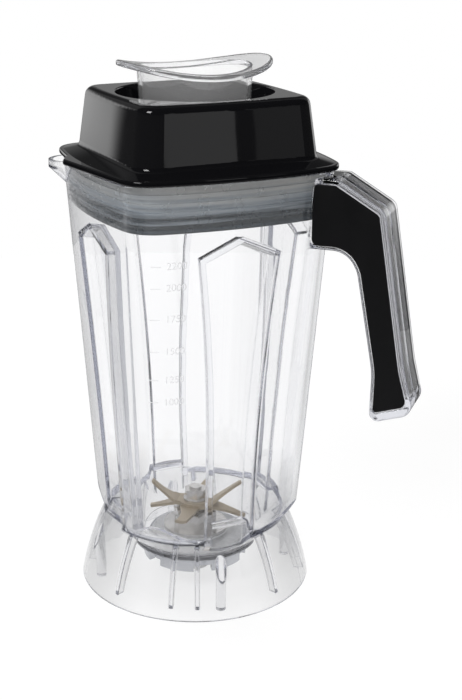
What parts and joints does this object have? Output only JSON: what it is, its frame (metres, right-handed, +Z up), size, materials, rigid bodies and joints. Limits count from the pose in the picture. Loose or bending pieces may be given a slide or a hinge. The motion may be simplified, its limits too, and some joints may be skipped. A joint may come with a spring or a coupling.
{
  "type": "blender jar",
  "caption": "Clear square-sided blender jar with pressed flutes, side handle, pouring spout, bell skirt, black plug lid, lift-out filler cap and a blade stack on a bearing housing.",
  "frame": {"origin": "point where the spindle axis meets the base plane", "axes": "+Z up along the spindle, +X towards the handle corner, the pouring spout is on the -X corner"},
  "size_m": [0.2436, 0.181, 0.3403],
  "materials": {
    "clear_plastic": "clear",
    "cap_clear": "clear",
    "grip_black": "satin",
    "lid_black": "gloss",
    "seal_grey": "translucent",
    "gasket": "matte",
    "steel": "polished",
    "bearing_steel": "polished",
    "nut_metal": "machined",
    "socket_metal": "satin",
    "blade_gold": "gold coated"
  },
  "bodies": {
    "jar": {"jar_body": "clear_plastic", "grip_panel_front": "grip_black", "grip_panel_rear": "grip_black", "bearing_housing": "steel", "housing_gasket": "gasket", "shaft_seal": "gasket", "housing_circlip": "steel", "upper_bearing_outer_ring": "bearing_steel", "upper_bearing_balls": "bearing_steel", "lower_bearing_outer_ring": "bearing_steel", "lower_bearing_balls": "bearing_steel", "retaining_nut": "nut_metal", "nut_washer": "gasket"},
    "rotor": {"drive_shaft": "steel", "drive_socket": "socket_metal", "upper_bearing_inner_ring": "bearing_steel", "lower_bearing_inner_ring": "bearing_steel", "bearing_spacer": "steel", "blade_spacer": "steel", "blade_lower": "blade_gold", "blade_upper": "blade_gold", "blade_washer": "steel", "blade_nut": "steel"},
    "lid": {"lid_shell": "lid_black", "lid_seal": "seal_grey"},
    "cap": {"filler_cap": "cap_clear"}
  },
  "joints": [
    {"name": "blade_spin", "type": "hinge", "parent": "jar", "child": "rotor", "pos_m": [0, 0, 0.045], "axis": [0, 0, 1], "continuous": true},
    {"name": "lid_lift", "type": "slide", "parent": "jar", "child": "lid", "axis": [0, 0, 1], "range_m": [0, 0.08]},
    {"name": "cap_lift", "type": "slide", "parent": "lid", "child": "cap", "axis": [0, 0, 1], "range_m": [0, 0.06]}
  ]
}
